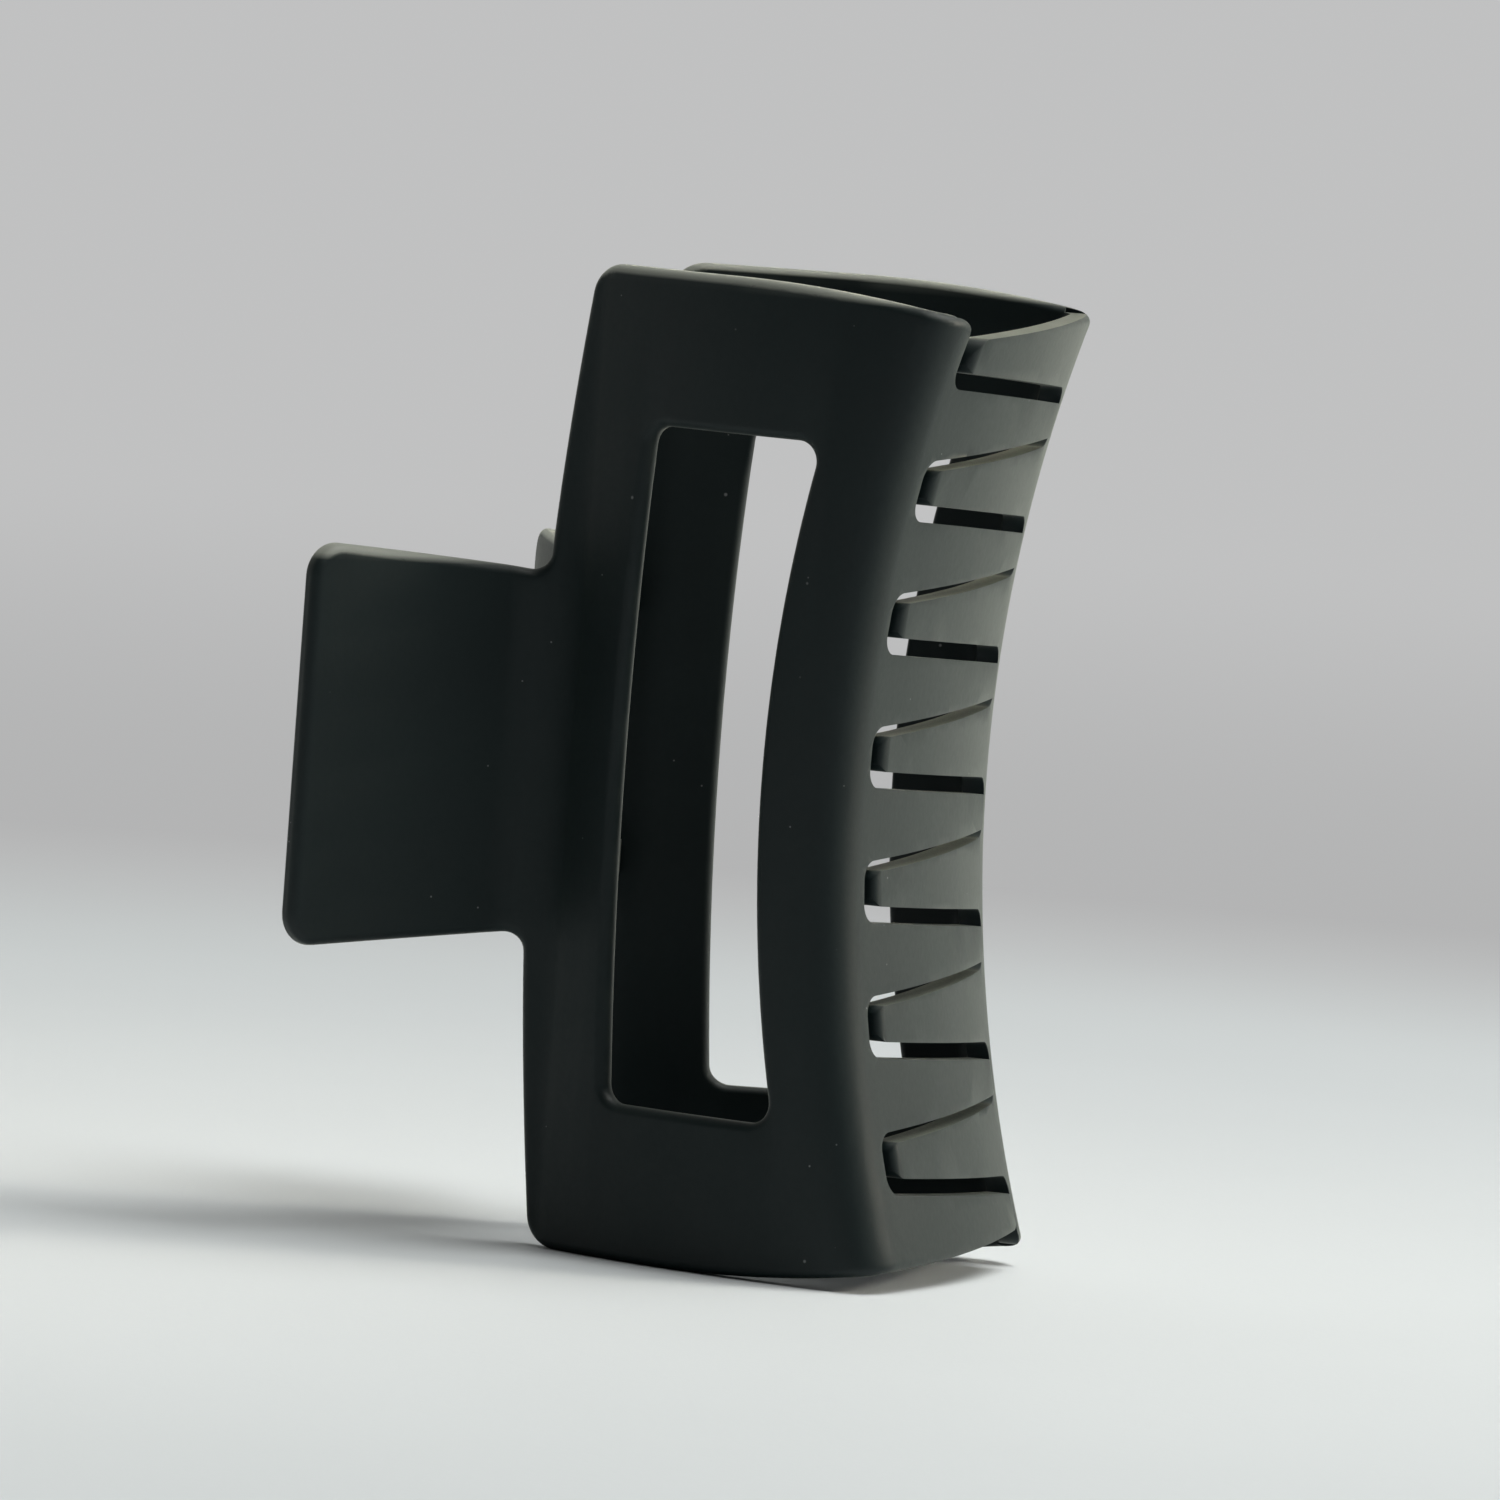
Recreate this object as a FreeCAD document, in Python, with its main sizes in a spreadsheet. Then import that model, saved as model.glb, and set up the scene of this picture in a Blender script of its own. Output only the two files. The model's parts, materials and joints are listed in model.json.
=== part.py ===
import FreeCAD, Part
import math
import os

import Sketcher

# A claw clip that stands on one end. The clip's length runs along Z, the combs face +X and the
# thumb pads point to -X. The front jaw lies at -Y. The rear jaw is the same moulding turned half a
# turn about the clip's mid axis, which is parallel to X. Each piece is drawn about the clip's
# centre, and its Placement then lifts it so that the origin is at the bottom of the clip.

TOOTH_COUNT = 7

X_AXIS = FreeCAD.Vector(1, 0, 0)
Y_AXIS = FreeCAD.Vector(0, 1, 0)
Z_AXIS = FreeCAD.Vector(0, 0, 1)
OUTWARD = FreeCAD.Vector(0.35, -0.94, 0)  # out of the front jaw, between its plate, pad and comb

# How the edges of a fillet are picked: lengths in millimetres, and the cosine of a small angle.
PICK_TOLERANCE = 0.1
LONG_EDGE = 100
SHORT_EDGE = 3
ALIGNED = 0.999

# Driving dimensions in millimetres and degrees: name, value, meaning.
DIMENSIONS = [
    ("clip_length", 110.0, "overall length, end to end"),
    ("wall", 2.6, "wall thickness of the mouldings"),
    ("plate_width", 48.8, "hinge edge to comb, at the ends of the clip"),
    ("waist_x", -3.0, "line where the plate meets the thumb pad"),
    ("waist_outer", 11.2, "mid plane to the outer waist line"),
    ("waist_inner_x", -3.85, "inner waist line, along X"),
    ("waist_inner", 7.9, "mid plane to the inner waist line"),
    ("waist_outer_radius", 7.0, "hollow of the waist outside"),
    ("waist_inner_radius", 9.6, "crown of the waist inside"),
    ("comb_depth", 23.9, "mid plane to the plate's outer face past the comb"),
    ("plate_radius", 96.0, "outward bow of the plate's outer face"),
    ("plate_spare", 6.0, "width of plate that the comb's shape trims off"),
    ("pad_length", 31.3, "waist to the tip of the thumb pad"),
    ("pad_angle", 53.8, "slope of the thumb pad from the clip's mid plane"),
    ("pad_radius", 120.0, "hollow of the thumb pad"),
    ("pad_root_half", 20.0, "half the thumb pad's height at its root"),
    ("pad_flare", 0.133, "growth of that half height per millimetre towards the tip"),
    ("hinge_edge_x", 0.001, "hinge edge along X, at the ends of the clip"),
    ("hinge_edge_radius", 380.0, "bow of the hinge edge"),
    ("notch_x", 3.4, "how far the hinge edge has bowed out at the thumb pad"),
    ("stand_flat", 19.0, "length of the flat part of each end"),
    ("end_radius", 155.0, "curve of each end past its flat part"),
    ("comb_sweep", 42.0, "angle that the comb's section is turned through"),
    ("comb_radius", 168.0, "hollow of the comb along the clip"),
    ("comb_hollow", 10.2, "depth of that hollow"),
    ("comb_bulge_radius", 130.0, "outward bow of the comb from root to tip"),
    ("comb_lean", 0.9, "how far the tooth tips stand out past the bend"),
    ("comb_foot", 26.0, "mid plane to the lower end of the comb's outer arc"),
    ("comb_foot_in", 1.3, "how far that end stands back"),
    ("comb_root", 22.3, "mid plane to the comb's root, within the plate"),
    ("comb_root_in", 0.45, "how far the comb's root stands back"),
    ("tooth_tip", 17.5, "mid plane to the tooth tips"),
    ("gap_root", 19.2, "mid plane to the bottom of the tooth gaps"),
    ("tooth_pitch", 14.83, "tooth to tooth of one comb"),
    ("tooth_taper", 0.06, "slope of a tooth's sides"),
    ("slit_wide", 1.9, "clearance above each tooth of the front jaw"),
    ("slit_narrow", 1.15, "clearance below each tooth of the front jaw"),
    ("bend_outer_radius", 4.4, "outer bend from plate to comb"),
    ("bend_inner_radius", 1.8, "inner bend from plate to comb"),
    ("window_half", 37.7, "half the window's height"),
    ("window_hinge_x", 9.6, "window's hinge side at its corners"),
    ("window_hinge_radius", 487.0, "bow of the window's hinge side"),
    ("window_comb_x", 31.5, "window's comb side at its corners"),
    ("window_comb_radius", 160.0, "hollow of the window's comb side"),
    ("cutter_x", 30.0, "plane behind the comb where the tooth gaps start"),
    ("end_cutter_x", 38.0, "plane behind the comb where the end gap starts"),
    ("taper_cutter_x", 43.0, "plane behind the comb where the taper of the lower end starts"),
    ("end_fall", 2.4, "how far the ends have curved in at the comb"),
    ("hinge_x", -3.0, "hinge axis along X, in the mid plane"),
    ("ear_radius", 3.4, "round end of a hinge ear"),
    ("ear_shoulder", 11.5, "angle above the mid plane where that round end starts"),
    ("ear_foot_pad_x", 4.5, "waist line to the ear's foot on the pad, along X"),
    ("ear_foot_pad", 3.0, "waist line to that foot, away from the mid plane"),
    ("ear_foot_waist", 1.2, "waist line to the ear's foot at the waist"),
    ("ear_foot_plate_x", 1.6, "waist line to the ear's foot on the plate, along X"),
    ("ear_foot_plate", 1.6, "waist line to that foot, away from the mid plane"),
    ("ear_thickness", 4.0, "thickness of a hinge ear"),
    ("ear_low", -19.0, "underside of the lower ear of the front jaw"),
    ("ear_high", 10.6, "underside of the upper ear of the front jaw"),
    ("pin_radius", 1.25, "hinge pin"),
    ("pin_clearance", 0.05, "radial clearance of the pin in the ears"),
    ("pin_head_radius", 2.1, "formed heads of the pin"),
    ("pin_head_height", 0.8, "thickness of the pin's heads"),
    ("pin_end_play", 0.1, "gap between a head and the ear under it"),
    ("wire_radius", 0.7, "wire of the torsion spring"),
    ("coil_radius", 3.6, "centre line radius of the spring's coils"),
    ("coil_turns", 7.0, "whole turns of the spring"),
    ("coil_pitch", 2.0, "rise of the spring per turn"),
    ("leg_reach_x", 14.6, "end of a spring leg along X, from the clip's centre"),
    ("leg_reach_y", 18.4, "end of a spring leg from the mid plane"),
    ("plate_corner", 3.8, "corner radius of the plate"),
    ("pad_corner", 3.6, "corner radius of the thumb pad"),
    ("notch_corner", 2.2, "corner radius between plate and thumb pad"),
    ("window_corner", 2.3, "corner radius of the window"),
    ("gap_corner", 2.2, "corner radius at the bottom of the tooth gaps"),
    ("tip_corner", 1.3, "corner radius of the tooth tips"),
    ("end_corner", 2.4, "corner radius where an end meets the comb"),
    ("outer_rim", 1.1, "rounded rim outside, round plate, pad and window"),
    ("inner_rim", 0.85, "rounded rim inside"),
    ("centre_x", 12.56, "middle of the closed clip along X"),
]


def make_sheet(doc):
    """The spreadsheet that every size is bound to."""
    sheet = doc.addObject("Spreadsheet::Sheet", "Dim")
    for row, (name, value, meaning) in enumerate(DIMENSIONS, start=1):
        sheet.set(f"A{row}", meaning)
        sheet.set(f"B{row}", str(value))
        sheet.setAlias(f"B{row}", name)
    doc.recompute()
    return sheet


def size(sheet, expression):
    """The present value of an expression of the sheet's sizes."""
    return float(sheet.evalExpression(expression))


def plane(body, role):
    """One of the body's own origin planes or axes."""
    return [item for item in body.Origin.OriginFeatures if item.Role == role][0]


def new_sketch(body, name, role, offset=None):
    """An empty sketch on one of the body's origin planes, moved along its normal by an expression."""
    sketch = body.newObject("Sketcher::SketchObject", name)
    sketch.AttachmentSupport = [(plane(body, role), "")]
    sketch.MapMode = "FlatFace"
    if offset:
        sketch.setExpression("AttachmentOffset.Base.z", offset)
    return sketch


def arc_edge(start, end, radius, side):
    """The minor arc from start to end. Its centre is on the left for side 1, on the right for -1."""
    chord = end - start
    rise = math.sqrt(radius ** 2 - (chord.Length / 2) ** 2)
    left = FreeCAD.Vector(-chord.y, chord.x, 0).normalize()
    centre = (start + end) * 0.5 + left * (rise * side)
    first, last = (start, end) if side > 0 else (end, start)
    angle_first = math.atan2(first.y - centre.y, first.x - centre.x)
    angle_last = math.atan2(last.y - centre.y, last.x - centre.x)
    circle = Part.Circle(centre, Z_AXIS, radius)
    return Part.ArcOfCircle(circle, angle_first, angle_last)


def draw_loop(sketch, sheet, corners):
    """
    A closed outline. Each corner is (x, y) or (x, y, radius, side) in expressions of the sheet; the
    longer form makes the edge that leaves the corner an arc. Every corner and radius stays bound.
    """
    places = [FreeCAD.Vector(size(sheet, c[0]), size(sheet, c[1]), 0) for c in corners]
    edges = []
    for index, corner in enumerate(corners):
        start = places[index]
        end = places[(index + 1) % len(corners)]
        if len(corner) == 2:
            edge = sketch.addGeometry(Part.LineSegment(start, end), False)
            edges.append((edge, 1, 2))
            continue
        radius, side = size(sheet, corner[2]), corner[3]
        edge = sketch.addGeometry(arc_edge(start, end, radius, side), False)
        edges.append((edge, 1, 2) if side > 0 else (edge, 2, 1))
        bound = sketch.addConstraint(Sketcher.Constraint("Radius", edge, radius))
        sketch.setExpression(f"Constraints[{bound}]", corner[2])
    for index, (edge, start_point, end_point) in enumerate(edges):
        after, after_start = edges[(index + 1) % len(edges)][:2]
        joint = Sketcher.Constraint("Coincident", edge, end_point, after, after_start)
        sketch.addConstraint(joint)
        for kind, expression in zip(("DistanceX", "DistanceY"), corners[index][:2]):
            distance = size(sheet, expression)
            constraint = Sketcher.Constraint(kind, -1, 1, edge, start_point, distance)
            bound = sketch.addConstraint(constraint)
            sketch.setExpression(f"Constraints[{bound}]", expression)


def draw_circle(sketch, sheet, x, y, radius):
    """A circle whose centre and radius are bound to expressions of the sheet."""
    centre = FreeCAD.Vector(size(sheet, x), size(sheet, y), 0)
    circle = Part.Circle(centre, Z_AXIS, size(sheet, radius))
    edge = sketch.addGeometry(circle, False)
    bound = sketch.addConstraint(Sketcher.Constraint("Radius", edge, size(sheet, radius)))
    sketch.setExpression(f"Constraints[{bound}]", radius)
    bound = sketch.addConstraint(Sketcher.Constraint("DistanceX", -1, 1, edge, 3, centre.x))
    sketch.setExpression(f"Constraints[{bound}]", x)
    sketch.addConstraint(Sketcher.Constraint("PointOnObject", edge, 3, -1))


def extrude(body, kind, name, sketch, length, side_type="Symmetric", reverse=False):
    """A Pad or Pocket of a sketch, with its length bound to an expression."""
    feature = body.newObject(f"PartDesign::{kind}", name)
    feature.Profile = sketch
    feature.Type = "Length"
    feature.SideType = side_type
    feature.Reversed = reverse
    feature.setExpression("Length", length)
    feature.Document.recompute()
    return feature


def turn(body, kind, name, sketch, angle):
    """A Revolution or Groove about the sketch's own vertical axis, half of it to each side."""
    feature = body.newObject(f"PartDesign::{kind}", name)
    feature.Profile = sketch
    feature.ReferenceAxis = (sketch, ["V_Axis"])
    feature.setExpression("Angle", angle)
    feature.Midplane = True
    feature.Document.recompute()
    return feature


def round_edges(body, name, radius, wanted):
    """A Fillet of the tip's edges for which wanted(edge, middle) is true."""
    base = body.Tip
    names = []
    for index, edge in enumerate(base.Shape.Edges, start=1):
        middle = edge.valueAt((edge.FirstParameter + edge.LastParameter) / 2)
        if wanted(edge, middle):
            names.append(f"Edge{index}")
    feature = body.newObject("PartDesign::Fillet", name)
    feature.Base = (base, names)
    feature.setExpression("Radius", radius)
    feature.Document.recompute()
    return feature


def along(edge, axis):
    """Whether a straight edge runs along the given axis."""
    if edge.Curve.TypeId != "Part::GeomLine":
        return False
    return abs(edge.Curve.Direction.dot(axis)) > ALIGNED


def near(value, target):
    """Whether two lengths agree."""
    return abs(value - target) < PICK_TOLERANCE


def long(edge):
    """Whether an edge runs the whole length of the clip."""
    return edge.Length > LONG_EDGE


def short(edge):
    """Whether an edge only crosses the wall."""
    return edge.Length < SHORT_EDGE


def make_section(body, sheet):
    """The plate and the thumb pad: one bent strip, as long as the clip."""
    sketch = new_sketch(body, "SectionSketch", "XY_Plane")
    reach = "Dim.pad_length * cos(Dim.pad_angle)"
    spread = "Dim.pad_length * sin(Dim.pad_angle)"
    corners = [
        ("Dim.plate_width + Dim.plate_spare", "-Dim.comb_depth", "Dim.plate_radius", -1),
        ("Dim.waist_x", "-Dim.waist_outer", "Dim.pad_radius", 1),
        (f"Dim.waist_x - {reach}", f"-Dim.waist_outer - {spread}"),
        (
            f"Dim.waist_x - {reach} - Dim.wall * sin(Dim.pad_angle)",
            f"-Dim.waist_outer - {spread} + Dim.wall * cos(Dim.pad_angle)",
            "Dim.pad_radius + Dim.wall",
            -1,
        ),
        ("Dim.waist_inner_x", "-Dim.waist_inner", "Dim.plate_radius - Dim.wall", 1),
        ("Dim.plate_width + Dim.plate_spare", "Dim.wall - Dim.comb_depth"),
    ]
    draw_loop(sketch, sheet, corners)
    extrude(body, "Pad", "Section", sketch, "Dim.clip_length + Dim.plate_spare")
    lines = (
        ("WaistOutside", "Dim.waist_outer_radius", "Dim.waist_x", "-Dim.waist_outer"),
        ("WaistInside", "Dim.waist_inner_radius", "Dim.waist_inner_x", "-Dim.waist_inner"),
    )
    for name, radius, line_x, line_y in lines:
        x, y = size(sheet, line_x), size(sheet, line_y)
        round_edges(
            body,
            name,
            radius,
            lambda edge, at: along(edge, Z_AXIS) and near(at.x, x) and near(at.y, y),
        )


def make_comb(body, sheet):
    """The comb wall, a strip turned about an axis beyond the clip, with the plate's spare trimmed."""
    axis_x = "Dim.plate_width - Dim.comb_hollow + Dim.comb_radius"
    strip = new_sketch(body, "CombSketch", "XY_Plane")
    strip.setExpression("AttachmentOffset.Base.x", axis_x)
    corners = [
        ("-Dim.comb_radius - Dim.comb_root_in - Dim.wall", "-Dim.comb_root"),
        ("-Dim.comb_radius + Dim.plate_spare", "-Dim.comb_root"),
        ("-Dim.comb_radius + Dim.plate_spare", "Dim.tooth_tip"),
        (
            "-Dim.comb_radius + Dim.comb_lean - Dim.wall",
            "Dim.tooth_tip",
            "Dim.comb_bulge_radius",
            -1,
        ),
    ]
    draw_loop(strip, sheet, corners)
    turn(body, "Revolution", "Comb", strip, "Dim.comb_sweep")
    trim = new_sketch(body, "CombTrimSketch", "XY_Plane")
    trim.setExpression("AttachmentOffset.Base.x", axis_x)
    corners = [
        (
            "-Dim.comb_radius - Dim.comb_foot_in",
            "-Dim.comb_foot",
            "Dim.comb_bulge_radius",
            1,
        ),
        ("-Dim.comb_radius + Dim.comb_lean", "Dim.tooth_tip"),
        ("-Dim.comb_radius + Dim.comb_lean", "2 * Dim.tooth_tip"),
        ("-Dim.comb_radius + 5 * Dim.plate_spare", "2 * Dim.tooth_tip"),
        ("-Dim.comb_radius + 5 * Dim.plate_spare", "-Dim.comb_foot - Dim.wall"),
        ("-Dim.comb_radius - Dim.comb_foot_in", "-Dim.comb_foot - Dim.wall"),
    ]
    draw_loop(trim, sheet, corners)
    turn(body, "Groove", "CombTrim", trim, "Dim.comb_sweep")
    behind = size(sheet, "Dim.cutter_x")
    root, gap = -size(sheet, "Dim.comb_root"), -size(sheet, "Dim.gap_root")
    round_edges(
        body,
        "BendOutside",
        "Dim.bend_outer_radius",
        lambda edge, at: long(edge) and at.x > behind and at.y < root,
    )
    round_edges(
        body,
        "BendInside",
        "Dim.bend_inner_radius",
        lambda edge, at: long(edge) and at.x > behind and root < at.y < gap,
    )


def trim_outline(body, sheet):
    """Everything outside the clip's outline is cut away, across the thickness."""
    sketch = new_sketch(body, "OutlineSketch", "XZ_Plane")
    frame = [
        ("-Dim.clip_length", "-Dim.clip_length"),
        ("Dim.clip_length", "-Dim.clip_length"),
        ("Dim.clip_length", "Dim.clip_length"),
        ("-Dim.clip_length", "Dim.clip_length"),
    ]
    draw_loop(sketch, sheet, frame)
    far_x = "Dim.plate_width + Dim.plate_spare"
    drop = f"({far_x} - Dim.stand_flat) ^ 2 / Dim.end_radius / 2"
    half = "Dim.clip_length / 2"
    tip_half = "Dim.pad_root_half + Dim.pad_flare * (Dim.pad_length - Dim.notch_x)"
    outline = [
        ("Dim.hinge_edge_x", half),
        ("Dim.stand_flat", half, "Dim.end_radius", -1),
        (far_x, f"{half} - {drop}"),
        (far_x, f"{drop} - {half}", "Dim.end_radius", -1),
        ("Dim.stand_flat", f"-{half}"),
        ("Dim.hinge_edge_x", f"-{half}", "Dim.hinge_edge_radius", -1),
        ("-Dim.notch_x", "-Dim.pad_root_half"),
        ("-Dim.pad_length", f"-({tip_half})"),
        ("-Dim.pad_length", tip_half),
        ("-Dim.notch_x", "Dim.pad_root_half", "Dim.hinge_edge_radius", -1),
    ]
    draw_loop(sketch, sheet, outline)
    extrude(body, "Pocket", "Outline", sketch, "2 * Dim.clip_length")
    round_outline(body, sheet)


def taper_end_tooth(body, sheet):
    """The tooth at the lower end is bounded by that end, which tapers there like the other teeth."""
    sketch = new_sketch(body, "EndTaperSketch", "YZ_Plane", "Dim.taper_cutter_x")
    level = "Dim.end_fall - Dim.clip_length / 2"
    tip_level = f"{level} + Dim.tooth_taper * (Dim.tooth_tip + Dim.comb_root)"
    corner_level = f"{tip_level} + Dim.end_corner"
    corners = [
        ("-Dim.comb_root", "-Dim.clip_length"),
        ("2 * Dim.tooth_tip", "-Dim.clip_length"),
        ("2 * Dim.tooth_tip", corner_level),
        ("Dim.tooth_tip", corner_level, "Dim.end_corner", -1),
        ("Dim.tooth_tip - Dim.end_corner", f"{tip_level} - Dim.tooth_taper * Dim.end_corner"),
        ("-Dim.comb_root", level),
    ]
    draw_loop(sketch, sheet, corners)
    extrude(body, "Pocket", "EndTaper", sketch, "Dim.cutter_x", "One side", True)


def round_outline(body, sheet):
    """The corners of that outline: plate, notches and thumb pad."""
    end = size(sheet, "Dim.clip_length / 2")
    notch_x, notch_z = -size(sheet, "Dim.notch_x"), size(sheet, "Dim.pad_root_half")
    pad_tip = size(sheet, "Dim.waist_x - Dim.pad_length * cos(Dim.pad_angle)")
    round_edges(
        body,
        "PlateCorners",
        "Dim.plate_corner",
        lambda edge, at: along(edge, Y_AXIS) and near(at.x, 0) and near(abs(at.z), end),
    )
    round_edges(
        body,
        "NotchCorners",
        "Dim.notch_corner",
        lambda edge, at: near(at.x, notch_x) and near(abs(at.z), notch_z),
    )
    round_edges(
        body,
        "PadCorners",
        "Dim.pad_corner",
        lambda edge, at: short(edge) and at.x < pad_tip and abs(at.z) > notch_z,
    )


def cut_window(body, sheet):
    """The tall window through the plate."""
    sketch = new_sketch(body, "WindowSketch", "XZ_Plane")
    corners = [
        ("Dim.window_hinge_x", "-Dim.window_half"),
        ("Dim.window_comb_x", "-Dim.window_half", "Dim.window_comb_radius", -1),
        ("Dim.window_comb_x", "Dim.window_half"),
        ("Dim.window_hinge_x", "Dim.window_half", "Dim.window_hinge_radius", 1),
    ]
    draw_loop(sketch, sheet, corners)
    extrude(body, "Pocket", "Window", sketch, "2 * Dim.clip_length")
    corner_z = size(sheet, "Dim.window_half")
    round_edges(
        body,
        "WindowCorners",
        "Dim.window_corner",
        lambda edge, at: along(edge, Y_AXIS) and near(abs(at.z), corner_z),
    )


def tooth_flank(gap, lower):
    """One side of a tooth gap: its ends at the gap's bottom, at the tip's corner and past the tip."""
    above = (TOOTH_COUNT - 1) / 2 - gap
    if lower:
        level = f"{above} * Dim.tooth_pitch - Dim.slit_wide / 2"
        slope, shift = "-Dim.tooth_taper", "-Dim.tip_corner"
    else:
        level = f"{above + 0.5} * Dim.tooth_pitch + Dim.slit_narrow / 2"
        slope, shift = "Dim.tooth_taper", "Dim.tip_corner"
    shoulder = "(Dim.tooth_tip - Dim.tip_corner)"
    tip_level = f"{level} + {slope} * Dim.tooth_tip + {shift}"
    root = ("-Dim.gap_root", f"{level} - {slope} * Dim.gap_root")
    corner = (shoulder, f"{level} + {slope} * {shoulder}")
    tip = ("Dim.tooth_tip", tip_level)
    mouth = ("2 * Dim.tooth_tip", tip_level)
    rounding = ("Dim.tip_corner", -1)
    if lower:
        return [root, corner + rounding, tip, mouth]
    return [mouth, tip + rounding, corner, root]


def cut_tooth_gaps(body, sheet):
    """The gaps between the teeth, all but the one at the upper end of the clip."""
    sketch = new_sketch(body, "GapSketch", "YZ_Plane", "Dim.cutter_x")
    for gap in range(1, TOOTH_COUNT):
        draw_loop(sketch, sheet, tooth_flank(gap, True) + tooth_flank(gap, False))
    extrude(body, "Pocket", "ToothGaps", sketch, "Dim.cutter_x", "One side", True)


def cut_end_gap(body, sheet):
    """The gap at the upper end: it is open to the end, and the plate's corner there is rounded."""
    sketch = new_sketch(body, "EndGapSketch", "YZ_Plane", "Dim.end_cutter_x")
    corner_top = "Dim.clip_length / 2 - Dim.end_fall"
    corners = tooth_flank(0, True) + [
        ("2 * Dim.tooth_tip", "Dim.clip_length"),
        ("-Dim.gap_root - Dim.end_corner", "Dim.clip_length"),
        ("-Dim.gap_root - Dim.end_corner", corner_top, "Dim.end_corner", -1),
        ("-Dim.gap_root", f"{corner_top} - Dim.end_corner"),
    ]
    draw_loop(sketch, sheet, corners)
    extrude(body, "Pocket", "EndGap", sketch, "Dim.cutter_x", "One side", True)
    bottom = -size(sheet, "Dim.gap_root")
    round_edges(
        body,
        "GapCorners",
        "Dim.gap_corner",
        lambda edge, at: along(edge, X_AXIS) and near(at.y, bottom),
    )


def make_ears(body, sheet):
    """Two hinge ears inside the waist, with one bore through both."""
    shoulder_x = "Dim.ear_radius * cos(Dim.ear_shoulder)"
    shoulder_y = "Dim.ear_radius * sin(Dim.ear_shoulder)"
    corners = [
        (f"Dim.hinge_x + {shoulder_x}", shoulder_y, "Dim.ear_radius", 1),
        (f"Dim.hinge_x - {shoulder_x}", shoulder_y),
        ("Dim.waist_x - Dim.ear_foot_pad_x", "-Dim.waist_outer - Dim.ear_foot_pad"),
        ("Dim.waist_x", "-Dim.waist_outer - Dim.ear_foot_waist"),
        ("Dim.waist_x + Dim.ear_foot_plate_x", "-Dim.waist_outer - Dim.ear_foot_plate"),
    ]
    for name, level in (("Lower", "Dim.ear_low"), ("Upper", "Dim.ear_high")):
        sketch = new_sketch(body, f"{name}EarSketch", "XY_Plane", level)
        draw_loop(sketch, sheet, corners)
        extrude(body, "Pad", f"{name}Ear", sketch, "Dim.ear_thickness", "One side")
    sketch = new_sketch(body, "BoreSketch", "XY_Plane")
    draw_circle(sketch, sheet, "Dim.hinge_x", "0", "Dim.pin_radius + Dim.pin_clearance")
    extrude(body, "Pocket", "Bore", sketch, "Dim.clip_length")


def skin_faces(shape, outside):
    """
    The curved faces of one side of the bent strip. Its ends, rims and window walls are flat, or are
    round about an axis across the clip, and aren't taken.
    """
    names = []
    for index, face in enumerate(shape.Faces, start=1):
        surface = face.Surface
        if surface.TypeId == "Part::GeomPlane":
            continue
        if surface.TypeId == "Part::GeomCylinder" and abs(surface.Axis.z) < ALIGNED:
            continue
        u_low, u_high, v_low, v_high = face.ParameterRange
        normal = face.normalAt((u_low + u_high) / 2, (v_low + v_high) / 2)
        if (normal.dot(OUTWARD) > 0) == outside:
            names.append(f"Face{index}")
    return names


def round_rim(body, name, radius, outside):
    """A Fillet of the sharp edges all round one side of the strip."""
    base = body.Tip
    feature = body.newObject("PartDesign::Fillet", name)
    feature.Base = (base, skin_faces(base.Shape, outside))
    feature.setExpression("Radius", radius)
    feature.Document.recompute()


def make_jaw(doc, sheet, label, turned):
    """One jaw: plate, window, thumb pad, comb and hinge ears in one moulding."""
    body = doc.addObject("PartDesign::Body", label.title().replace("_", ""))
    body.Label = label
    make_section(body, sheet)
    make_comb(body, sheet)
    trim_outline(body, sheet)
    cut_window(body, sheet)
    round_rim(body, "InnerRim", "Dim.inner_rim", False)
    round_rim(body, "OuterRim", "Dim.outer_rim", True)
    taper_end_tooth(body, sheet)
    cut_tooth_gaps(body, sheet)
    cut_end_gap(body, sheet)
    make_ears(body, sheet)
    place(body)
    if turned:
        body.Placement.Rotation = FreeCAD.Rotation(X_AXIS, 180)
    return body


def make_hinge_pin(doc, sheet):
    """The pin through the four ears, with a formed head at each end."""
    shaft = doc.addObject("Part::Cylinder", "PinShaft")
    shaft.setExpression("Radius", "Dim.pin_radius")
    shaft.setExpression("Height", "2 * (Dim.pin_end_play - Dim.ear_low)")
    shaft.setExpression("Placement.Base.z", "Dim.ear_low - Dim.pin_end_play")
    heads = []
    levels = (
        "Dim.ear_low - Dim.pin_end_play - Dim.pin_head_height",
        "Dim.pin_end_play - Dim.ear_low",
    )
    for index, level in enumerate(levels):
        head = doc.addObject("Part::Cylinder", f"PinHead{index + 1}")
        head.setExpression("Radius", "Dim.pin_head_radius")
        head.setExpression("Height", "Dim.pin_head_height")
        head.setExpression("Placement.Base.z", level)
        heads.append(head)
    pin = doc.addObject("Part::MultiFuse", "HingePin")
    pin.Label = "hinge_pin"
    pin.Shapes = [shaft] + heads
    place(pin, "Dim.hinge_x")
    return pin


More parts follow.
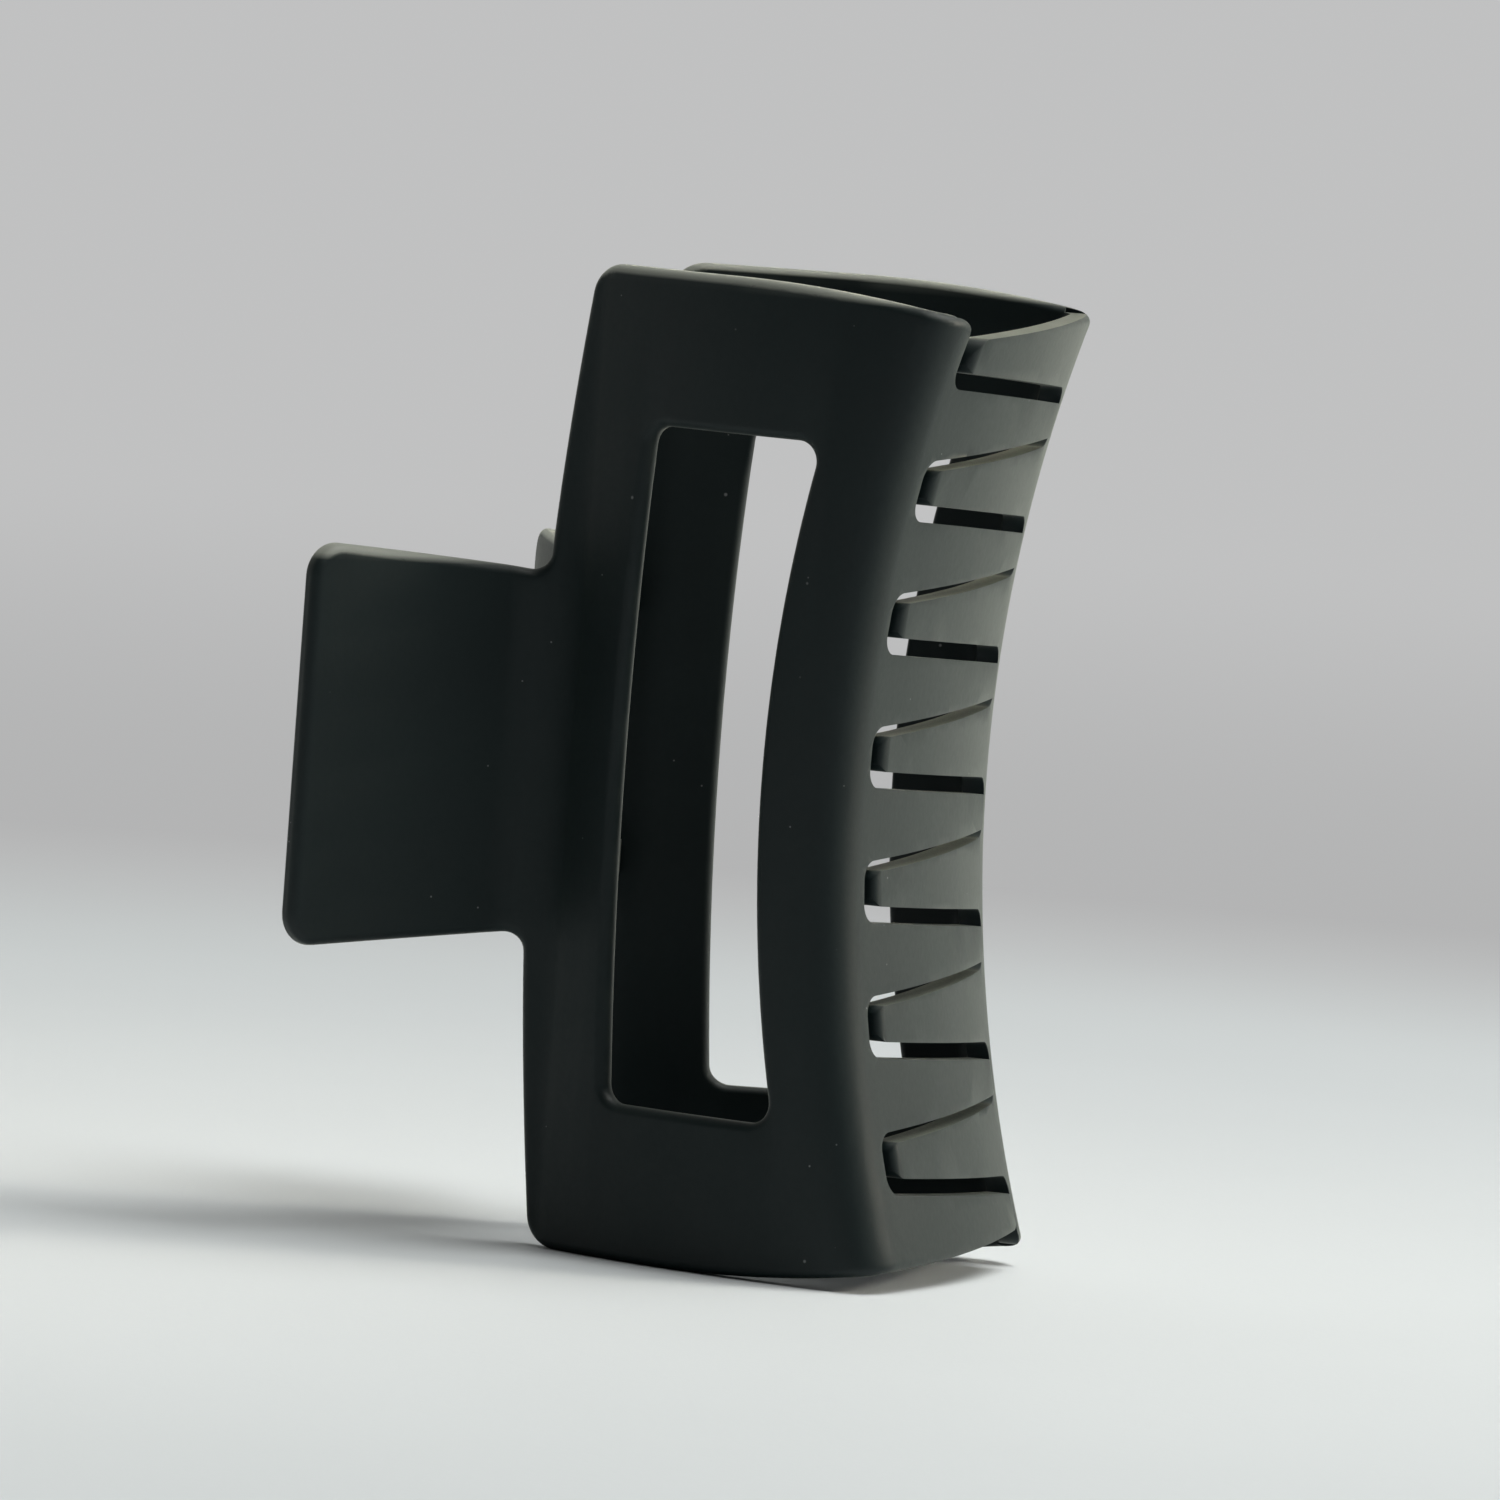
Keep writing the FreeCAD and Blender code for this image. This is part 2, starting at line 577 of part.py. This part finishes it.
def make_torsion_spring(doc, sheet):
    """The spring round the pin: a coil whose ends run straight out, one under each thumb pad."""
    radius = size(sheet, "Dim.coil_radius")
    pitch = size(sheet, "Dim.coil_pitch")
    reach_x = -size(sheet, "Dim.leg_reach_x + Dim.hinge_x")
    reach_y = -size(sheet, "Dim.leg_reach_y")
    leg = math.sqrt(reach_x ** 2 + reach_y ** 2 - radius ** 2)
    start = math.degrees(math.atan2(reach_y, reach_x) + math.atan2(leg, radius))
    turns = size(sheet, "Dim.coil_turns") - 2 * start / 360
    coil = Part.makeHelix(pitch, pitch * turns, radius)
    coil.rotate(FreeCAD.Vector(), Z_AXIS, start)
    coil.translate(FreeCAD.Vector(0, 0, -pitch * turns / 2))
    first, last = coil.Edges[0], coil.Edges[-1]
    head, tail = first.valueAt(first.FirstParameter), last.valueAt(last.LastParameter)
    rise = FreeCAD.Vector(0, 0, pitch * leg / (2 * math.pi * radius))
    front_end = FreeCAD.Vector(reach_x, reach_y, head.z) - rise
    rear_end = FreeCAD.Vector(reach_x, -reach_y, tail.z) + rise
    legs = [Part.makeLine(front_end, head), Part.makeLine(tail, rear_end)]
    path = doc.addObject("Part::Feature", "SpringPath")
    path.Shape = Part.Wire([legs[0]] + coil.Edges + [legs[1]])
    wire = doc.addObject("Part::Circle", "SpringWire")
    wire.setExpression("Radius", "Dim.wire_radius")
    wire.Placement = FreeCAD.Placement(
        front_end, FreeCAD.Rotation(Z_AXIS, head - front_end)
    )
    spring = doc.addObject("Part::Sweep", "TorsionSpring")
    spring.Label = "torsion_spring"
    spring.Sections = [wire]
    spring.Spine = (path, [f"Edge{n + 1}" for n in range(len(path.Shape.Edges))])
    spring.Solid = True
    spring.Frenet = True
    place(spring, "Dim.hinge_x")
    return spring


def place(piece, x="0"):
    """Lifts a piece so that the origin is under the middle of the closed clip."""
    piece.setExpression("Placement.Base.x", f"{x} - Dim.centre_x")
    piece.setExpression("Placement.Base.z", "Dim.clip_length / 2")


def check(doc, pieces):
    """Stops if any object failed, or if a piece isn't one valid solid."""
    for item in doc.Objects:
        if "Invalid" in item.State or "Error" in item.State:
            raise RuntimeError(f"{item.Label} failed: {item.State}")
    for piece in pieces:
        shape = piece.Shape
        if shape.isNull() or not shape.isValid() or len(shape.Solids) != 1:
            raise RuntimeError(f"{piece.Label} isn't one valid solid")
        print(f"{piece.Label}: {shape.Volume:.1f} cubic millimetres")


def main():
    doc = FreeCAD.newDocument("ClawClip")
    sheet = make_sheet(doc)
    pieces = [
        make_jaw(doc, sheet, "front_jaw", False),
        make_jaw(doc, sheet, "rear_jaw", True),
        make_hinge_pin(doc, sheet),
        make_torsion_spring(doc, sheet),
    ]
    doc.recompute()
    check(doc, pieces)
    os.makedirs("parts", exist_ok=True)
    for piece in pieces:
        piece.Shape.exportStep(f"parts/{piece.Label}.step")


main()
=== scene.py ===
import json
import math

import bpy
from mathutils import Matrix, Vector


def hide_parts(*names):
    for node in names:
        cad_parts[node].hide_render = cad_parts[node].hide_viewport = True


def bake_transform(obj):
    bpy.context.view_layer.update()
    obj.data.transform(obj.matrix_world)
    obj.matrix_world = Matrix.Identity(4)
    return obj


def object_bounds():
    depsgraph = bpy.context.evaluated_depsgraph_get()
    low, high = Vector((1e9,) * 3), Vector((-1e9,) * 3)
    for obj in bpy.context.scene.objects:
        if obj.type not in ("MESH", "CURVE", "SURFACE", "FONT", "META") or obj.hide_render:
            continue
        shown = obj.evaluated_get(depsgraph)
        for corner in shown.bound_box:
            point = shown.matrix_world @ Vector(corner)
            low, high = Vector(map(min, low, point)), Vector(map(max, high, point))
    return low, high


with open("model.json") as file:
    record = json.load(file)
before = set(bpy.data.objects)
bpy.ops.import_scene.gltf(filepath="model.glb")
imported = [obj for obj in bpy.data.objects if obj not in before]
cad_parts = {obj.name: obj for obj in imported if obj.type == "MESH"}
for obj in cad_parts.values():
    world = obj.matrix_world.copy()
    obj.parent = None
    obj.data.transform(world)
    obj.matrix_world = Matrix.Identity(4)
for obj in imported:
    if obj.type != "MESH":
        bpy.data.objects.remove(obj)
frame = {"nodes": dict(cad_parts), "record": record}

# Everything is in metres, in the row frame: +Z up along the clip, +X towards the combs, and the
# front jaw at -Y. The camera looks at the front jaw's plate, with the combs at the right.

CAD_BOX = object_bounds()
CLIP_LENGTH = CAD_BOX[1].z - CAD_BOX[0].z
HINGE = Vector(frame["record"]["behaviour"]["joints"][0]["pos_m"])

# The camera, as fitted to the clip's outline. Angles are in degrees, and the lens and the width of
# its sensor are in millimetres.
VIEW_AZIMUTH = 20.2
VIEW_ELEVATION = 3.99
VIEW_ROLL = 4.23
VIEW_DISTANCE = 1.5015
VIEW_TARGET = Vector((0.0048, 0, 0.515 * CLIP_LENGTH))
VIEW_NEAREST = 0.1
VIEW_FURTHEST = 100
SENSOR = 36
LENS = 322.6

# The torsion spring, as the CAD has it: its coil stands on the hinge axis.
WIRE_RADIUS = 0.0007
WIRE_ROUNDNESS = 4
COIL_RADIUS = 0.0036
COIL_PITCH = 0.002
COIL_TURNS = 7
LEG_REACH = Vector((-0.0116, -0.0184))  # from the hinge axis to the end of the front leg
STEPS_PER_TURN = 32
LEG_STEPS = 8

# How the CAD meshes are cleaned up: vertices closer than this merge, facets that meet at a smaller
# angle than this merge, and edges that turn by more than this are bevelled. Angles in degrees.
WELD_DISTANCE = 0.000002
FLAT_ANGLE = 0.3
BEVEL_ANGLE = 38
BEVEL_WIDTH = 0.00028
BEVEL_SEGMENTS = 3

# Linear colours: the plastic at its darkest and lightest, its sheen, the pale highlight painted on its
# top rims, its dust specks, and the lamps.
PLASTIC_DARK = (0.0006, 0.0068, 0.0078, 1)
PLASTIC_LIGHT = (0.0014, 0.0085, 0.0094, 1)
SHEEN = (0.9, 0.94, 0.82, 1)
# Pale colour painted on the upward rims as a highlight, where the light from above catches them.
RIM_HIGHLIGHT = (0.20, 0.212, 0.188, 1)
SPECK = (0.30, 0.31, 0.31, 1)
BLACK = (0, 0, 0, 1)
LAMP_WHITE = (1.0, 1.0, 0.95)
LAMP_WARM = (1.0, 0.93, 0.78)

# Display levels of the greys, from 0 to 255, and how warm they are.
PIN_LEVEL = 186
WIRE_LEVEL = 172
TABLE_LIGHT = 208
TABLE_DARK = 202
TABLE_WARMTH = -0.05
BACKDROP_NEAR = 180
BACKDROP_FAR = 193
BACKDROP_WARMTH = -0.004

# A pale highlight is painted on the upward faces at the jaws' top ends and the thumb pads' upper edges,
# where the light from above catches them, down to RIM below each, and at full strength over a share of
# that. The pads begin a little past the hinge.
RIM = 0.0018
RIM_FULL = 0.6
PAD_FROM_HINGE = 0.004

# Dust specks: the share of a speck's radius that is solid, the share of cells that stay empty, and
# how much of the plastic a speck hides.
SPECK_CORE = 0.4
SPECK_FREE = 0.68
SPECK_COVER = 0.55

# The drawing marks on steel: stretched out along Z, or the same in all directions. Its stains have
# this share of its level.
ALONG_Z = (1, 1, 0.06)
EVEN = (1, 1, 1)
STAINED = 0.72

# The floor: pale round the clip, and a darker grey past the table's soft edge. Further out, the
# grey is lighter again.
FLOOR_HALF = 30
TABLE_EDGE = 0.43
TABLE_BLUR = 0.12
BACKDROP_LIGHT_AT = 1.6

# The surroundings are dim in front of the clip and bright behind it, and they brighten between
# these two values of the view direction's Y.
WORLD_DIM = 0.025
WORLD_BRIGHT = 0.55
WORLD_DIM_Y = -0.7
WORLD_BRIGHT_Y = 0.9


def linear(level):
    """The linear value of a display level from 0 to 255."""
    share = level / 255
    return share / 12.92 if share <= 0.04045 else ((share + 0.055) / 1.055) ** 2.4


def grey(level, warm):
    """A linear colour near a grey of that display level; warm tips it from blue to red."""
    value = linear(level)
    return (value * (1 + warm), value, value * (1 - warm), 1)


class Nodes:
    """A material's node tree, with short calls to add and join nodes."""

    def __init__(self, name):
        self.material = bpy.data.materials.new(name)
        self.material.use_nodes = True
        self.tree = self.material.node_tree
        self.shader = self.tree.nodes["Principled BSDF"]
        self.where = self.add("ShaderNodeTexCoord").outputs["Object"]

    def add(self, kind, values=None, **settings):
        """A node with its settings, and with values or links for its inputs."""
        node = self.tree.nodes.new(kind)
        for name, value in settings.items():
            setattr(node, name, value)
        for name, value in (values or {}).items():
            self.put(node.inputs[name], value)
        return node

    def put(self, socket, value):
        """Sets a socket to a value, or joins it to another node's output."""
        if isinstance(value, bpy.types.NodeSocket):
            self.tree.links.new(value, socket)
        else:
            socket.default_value = value

    def set(self, **values):
        """Inputs of the Principled shader, with _ for a space."""
        for name, value in values.items():
            self.put(self.shader.inputs[name.replace("_", " ")], value)

    def noise(self, scale, detail, stretch=None):
        """Noise in the row frame: scale is in cells per metre, stretch scales it along each axis."""
        where = self.where
        if stretch:
            where = self.add("ShaderNodeMapping", {"Vector": where, "Scale": stretch}).outputs[0]
        values = {"Vector": where, "Scale": scale, "Detail": detail}
        return self.add("ShaderNodeTexNoise", values).outputs["Fac"]

    def span(self, value, low, high, to_low=0, to_high=1, smooth=False):
        """Maps a range of values to another, clamped."""
        kind = "SMOOTHSTEP" if smooth else "LINEAR"
        values = {"Value": value, "From Min": low, "From Max": high}
        values.update({"To Min": to_low, "To Max": to_high})
        return self.add("ShaderNodeMapRange", values, interpolation_type=kind).outputs["Result"]

    def math(self, operation, first, second):
        """One arithmetic step."""
        node = self.add("ShaderNodeMath", operation=operation)
        self.put(node.inputs[0], first)
        self.put(node.inputs[1], second)
        return node.outputs[0]

    def clearance(self, reach):
        """1 where no other surface lies within reach, and less in slits and corners."""
        return self.add("ShaderNodeAmbientOcclusion", {"Distance": reach}, samples=4).outputs["AO"]

    def mix(self, share, first, second):
        """A colour between two colours."""
        node = self.add("ShaderNodeMix", data_type="RGBA")
        self.put(node.inputs["Factor"], share)
        self.put(node.inputs["A"], first)
        self.put(node.inputs["B"], second)
        return node.outputs["Result"]

    def bump(self, height, distance, strength, normal=None):
        """A bump whose full height is that distance."""
        values = {"Height": height, "Distance": distance, "Strength": strength}
        if normal:
            values["Normal"] = normal
        return self.add("ShaderNodeBump", values).outputs["Normal"]


def specks(nodes, spacing, radius, seed):
    """1 on sparse round specks and 0 elsewhere."""
    shift = (seed, 2 * seed, 3 * seed)
    moved = nodes.add("ShaderNodeMapping", {"Vector": nodes.where, "Location": shift})
    values = {"Vector": moved.outputs[0], "Scale": 1 / spacing}
    cells = nodes.add("ShaderNodeTexVoronoi", values)
    edge = radius / spacing
    near = nodes.span(cells.outputs["Distance"], low=edge, high=SPECK_CORE * edge)
    chosen = nodes.add("ShaderNodeSeparateColor", {"Color": cells.outputs["Color"]})
    kept = nodes.math("GREATER_THAN", chosen.outputs["Red"], SPECK_FREE)
    return nodes.math("MULTIPLY", near, kept)


def pad_top():
    """The height of the thumb pads' upper edge."""
    jaw = frame["nodes"]["front_jaw"].data
    return max(point.co.z for point in jaw.vertices if point.co.x < HINGE.x - PAD_FROM_HINGE)


def painted_rim_highlight(nodes):
    """Where the pale highlight is painted: 1 on upward faces at the jaws' top ends and the pads' upper
    edges, and 0 elsewhere.
    """
    normal = nodes.add("ShaderNodeNewGeometry").outputs["Normal"]
    upward = nodes.add("ShaderNodeSeparateXYZ", {"Vector": normal}).outputs["Z"]
    facing = nodes.span(upward, low=0, high=0.35, smooth=True)
    place = nodes.add("ShaderNodeSeparateXYZ", {"Vector": nodes.where})
    on_pad = nodes.math("LESS_THAN", place.outputs["X"], HINGE.x - PAD_FROM_HINGE)
    top = nodes.span(on_pad, low=0, high=1, to_low=CLIP_LENGTH, to_high=pad_top())
    below = nodes.math("SUBTRACT", top, place.outputs["Z"])
    return nodes.math("MULTIPLY", facing, nodes.span(below, low=RIM, high=RIM_FULL * RIM))


def soft_touch_plastic():
    """Near-black plastic with a soft-touch coat: fine matt grain, faint clouding, some dust specks, and
    a pale highlight painted on its upward rims.

    Gloss and sheen are lower in slits and corners than in the open.
    """
    nodes = Nodes("soft_touch_plastic")
    cloud = nodes.noise(scale=70, detail=4)
    grain = nodes.noise(scale=4200, detail=2)
    pebble = nodes.noise(scale=1300, detail=3)
    open_air = nodes.span(nodes.clearance(reach=0.003), low=0.1, high=0.6)
    body = nodes.mix(nodes.span(cloud, low=0.35, high=0.65), PLASTIC_DARK, PLASTIC_LIGHT)
    # A pale highlight is painted on the upward rims at the jaws' top ends and the pads' upper edges.
    rim_highlighted = nodes.mix(painted_rim_highlight(nodes), body, RIM_HIGHLIGHT)
    large = specks(nodes, spacing=0.006, radius=0.00025, seed=0.31)
    small = specks(nodes, spacing=0.003, radius=0.00014, seed=0.77)
    share = nodes.math("MULTIPLY", nodes.math("MAXIMUM", large, small), SPECK_COVER)
    nodes.set(Base_Color=nodes.mix(share, rim_highlighted, SPECK))
    blotches = nodes.span(cloud, low=0.3, high=0.7, to_low=0.50, to_high=0.58)
    uneven = nodes.span(pebble, low=0.3, high=0.7, to_high=0.05)
    nodes.set(Roughness=nodes.math("ADD", blotches, uneven), IOR=1.4)
    nodes.set(Specular_IOR_Level=nodes.span(open_air, low=0, high=1, to_low=0.05, to_high=0.5))
    nodes.set(Sheen_Weight=nodes.span(open_air, low=0, high=1, to_low=0.04, to_high=0.35))
    nodes.set(Sheen_Roughness=0.35, Sheen_Tint=SHEEN)
    fine = nodes.bump(grain, distance=0.000012, strength=0.5)
    nodes.set(Normal=nodes.bump(pebble, distance=0.00003, strength=0.35, normal=fine))
    return nodes.material


def drawn_steel(name, level, stretch):
    """Bright steel of that display level, with faint stains and the fine marks of drawing."""
    nodes = Nodes(name)
    marks = nodes.noise(scale=900, detail=5, stretch=stretch)
    stain = nodes.noise(scale=260, detail=3)
    light = grey(level, warm=0.01)
    dark = grey(STAINED * level, warm=0.03)
    stained = nodes.span(stain, low=0.35, high=0.7, to_high=0.6)
    nodes.set(Base_Color=nodes.mix(stained, light, dark), Metallic=1.0)
    nodes.set(Roughness=nodes.span(marks, low=0.3, high=0.7, to_low=0.24, to_high=0.42))
    nodes.set(Normal=nodes.bump(marks, distance=0.00002, strength=0.4))
    return nodes.material


def floor_finish():
    """Pale matt table top that turns smoothly to a backdrop of its own grey past its edge."""
    nodes = Nodes("floor_finish")
    flat = nodes.add("ShaderNodeVectorMath", {0: nodes.where, 1: (1, 1, 0)}, operation="MULTIPLY")
    length = nodes.add("ShaderNodeVectorMath", {0: flat.outputs[0]}, operation="LENGTH")
    away = length.outputs["Value"]
    edge_end = TABLE_EDGE + TABLE_BLUR
    past = nodes.span(away, low=TABLE_EDGE - TABLE_BLUR, high=edge_end, smooth=True)
    far = nodes.span(away, low=edge_end, high=BACKDROP_LIGHT_AT, smooth=True)
    cloud = nodes.span(nodes.noise(scale=9, detail=3), low=0.3, high=0.7, to_high=0.35)
    top = nodes.mix(cloud, grey(TABLE_LIGHT, TABLE_WARMTH), grey(TABLE_DARK, TABLE_WARMTH))
    nodes.set(Base_Color=nodes.mix(past, top, BLACK), Roughness=0.6)
    nodes.set(Specular_IOR_Level=nodes.span(past, low=0, high=1, to_low=0.08, to_high=0))
    near_grey = grey(BACKDROP_NEAR, BACKDROP_WARMTH)
    far_grey = grey(BACKDROP_FAR, BACKDROP_WARMTH)
    nodes.set(Emission_Color=nodes.mix(far, near_grey, far_grey), Emission_Strength=past)
    nodes.set(Normal=nodes.bump(nodes.noise(scale=700, detail=3), distance=0.00006, strength=0.4))
    return nodes.material


def make_object(name, data):
    """A new object with that data, in the scene."""
    made = bpy.data.objects.new(name, data)
    bpy.context.collection.objects.link(made)
    return made


def dress(node, finish):
    """Gives a CAD node its finish, and cleans its mesh up with modifiers.

    Blender holds a bevel's width down where faces are small. On the jaws, which have their rounds
    from the CAD, it leaves next to nothing of it.
    """
    node.data.materials.clear()
    node.data.materials.append(finish)
    weld = node.modifiers.new("weld", "WELD")
    weld.merge_threshold = WELD_DISTANCE
    flats = node.modifiers.new("flats", "DECIMATE")
    flats.decimate_type = "DISSOLVE"
    flats.angle_limit = math.radians(FLAT_ANGLE)
    bevel = node.modifiers.new("edges", "BEVEL")
    bevel.width = BEVEL_WIDTH
    bevel.segments = BEVEL_SEGMENTS
    bevel.limit_method = "ANGLE"
    bevel.angle_limit = math.radians(BEVEL_ANGLE)
    bevel.harden_normals = True


def spring_path():
    """Points along the spring's wire: the front leg, the coil upwards, and the rear leg.

    The legs leave the coil as tangents, at its slope. The rear leg is the front one, turned half a
    turn about X.
    """
    reach = LEG_REACH.length
    leg = math.sqrt(reach ** 2 - COIL_RADIUS ** 2)
    start = math.atan2(LEG_REACH.y, LEG_REACH.x) + math.atan2(leg, COIL_RADIUS)
    turns = COIL_TURNS - start / math.pi
    height = COIL_PITCH * turns
    rise = COIL_PITCH * leg / (2 * math.pi * COIL_RADIUS)
    steps = round(STEPS_PER_TURN * turns)
    coil = []
    for step in range(steps + 1):
        share = step / steps
        angle = start + share * turns * 2 * math.pi
        flat = Vector((math.cos(angle), math.sin(angle), 0)) * COIL_RADIUS
        coil.append(HINGE + flat + Vector((0, 0, (share - 0.5) * height)))
    front_end = HINGE + Vector((LEG_REACH.x, LEG_REACH.y, -height / 2 - rise))
    rear_end = HINGE + Vector((LEG_REACH.x, -LEG_REACH.y, height / 2 + rise))
    front = [front_end.lerp(coil[0], step / LEG_STEPS) for step in range(LEG_STEPS)]
    rear = [coil[-1].lerp(rear_end, (step + 1) / LEG_STEPS) for step in range(LEG_STEPS)]
    return front + coil + rear


def make_spring(finish):
    """The spring's wire as a mesh."""
    points = spring_path()
    curve = bpy.data.curves.new("spring_wire_path", "CURVE")
    curve.dimensions = "3D"
    curve.bevel_depth = WIRE_RADIUS
    curve.bevel_resolution = WIRE_ROUNDNESS
    curve.use_fill_caps = True
    spline = curve.splines.new("POLY")
    spline.points.add(len(points) - 1)
    for point, place in zip(spline.points, points):
        point.co = (*place, 1)
    helper = make_object("spring_helper", curve)
    graph = bpy.context.evaluated_depsgraph_get()
    mesh = bpy.data.meshes.new_from_object(helper.evaluated_get(graph))
    bpy.data.objects.remove(helper)
    mesh.materials.clear()
    mesh.materials.append(finish)
    mesh.shade_smooth()
    spring = make_object("spring_wire", mesh)
    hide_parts("torsion_spring")
    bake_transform(spring)


def make_floor():
    """The floor, level with the clip's standing end."""
    corners = [(-1, -1), (1, -1), (1, 1), (-1, 1)]
    mesh = bpy.data.meshes.new("floor")
    places = [(x * FLOOR_HALF, y * FLOOR_HALF, 0) for x, y in corners]
    mesh.from_pydata(places, [], [(0, 1, 2, 3)])
    mesh.materials.append(floor_finish())
    floor = make_object("floor", mesh)
    floor.location.z = CAD_BOX[0].z


def toward(azimuth, elevation):
    """The unit vector from the clip at that azimuth and elevation. Azimuth 0 is -Y, 90 is +X."""
    round_z = math.radians(azimuth)
    up = math.radians(elevation)
    flat = math.cos(up)
    return Vector((math.sin(round_z) * flat, -math.cos(round_z) * flat, math.sin(up)))


def make_softbox(name, azimuth, elevation, distance, side, power, colour, spread=180, lift=0.0):
    """A square studio light that faces the camera's target, or a point that much above it."""
    light = bpy.data.lights.new(name, "AREA")
    light.shape = "SQUARE"
    light.size = side
    light.energy = power
    light.color = colour
    light.spread = math.radians(spread)
    box = make_object(name, light)
    away = toward(azimuth, elevation)
    box.location = VIEW_TARGET + Vector((0, 0, lift)) + away * distance
    box.rotation_mode = "QUATERNION"
    box.rotation_quaternion = away.to_track_quat("Z", "Y")


def light_studio():
    """Pale surroundings, and two soft boxes at the right: a white one high up, a faint warm one low."""
    world = bpy.data.worlds.new("studio")
    bpy.context.scene.world = world
    world.use_nodes = True
    tree = world.node_tree
    where = tree.nodes.new("ShaderNodeTexCoord")
    split = tree.nodes.new("ShaderNodeSeparateXYZ")
    ramp = tree.nodes.new("ShaderNodeMapRange")
    ramp.interpolation_type = "SMOOTHSTEP"
    ramp.inputs["From Min"].default_value = WORLD_DIM_Y
    ramp.inputs["From Max"].default_value = WORLD_BRIGHT_Y
    ramp.inputs["To Min"].default_value = WORLD_DIM
    ramp.inputs["To Max"].default_value = WORLD_BRIGHT
    tree.links.new(where.outputs["Generated"], split.inputs["Vector"])
    tree.links.new(split.outputs["Y"], ramp.inputs["Value"])
    background = tree.nodes["Background"]
    background.inputs["Color"].default_value = (*LAMP_WHITE, 1)
    tree.links.new(ramp.outputs["Result"], background.inputs["Strength"])
    make_softbox(
        "overhead_box", azimuth=104, elevation=66, distance=1.3, side=0.8, power=19,
        colour=LAMP_WHITE,
    )
    make_softbox(
        "rear_box", azimuth=112, elevation=18, distance=0.9, side=0.3, power=0.45,
        colour=LAMP_WARM, spread=28, lift=0.13,
    )


def make_camera():
    """The camera, at the angle and distance that fit the clip's outline."""
    lens = bpy.data.cameras.new("camera")
    lens.sensor_width = SENSOR
    lens.lens = LENS
    lens.clip_start = VIEW_NEAREST
    lens.clip_end = VIEW_FURTHEST
    camera = make_object("camera", lens)
    away = toward(VIEW_AZIMUTH, VIEW_ELEVATION)
    roll = Matrix.Rotation(math.radians(VIEW_ROLL), 3, "Z")
    turn = away.to_track_quat("Z", "Y").to_matrix() @ roll
    camera.matrix_world = Matrix.Translation(VIEW_TARGET + away * VIEW_DISTANCE) @ turn.to_4x4()
    bpy.context.scene.camera = camera


bpy.context.scene.view_settings.view_transform = "Standard"
make_camera()
jaw_finish = soft_touch_plastic()
for jaw in ("front_jaw", "rear_jaw"):
    dress(frame["nodes"][jaw], jaw_finish)
dress(frame["nodes"]["hinge_pin"], drawn_steel("pin_steel", PIN_LEVEL, ALONG_Z))
make_spring(drawn_steel("spring_steel", WIRE_LEVEL, EVEN))
make_floor()
light_studio()
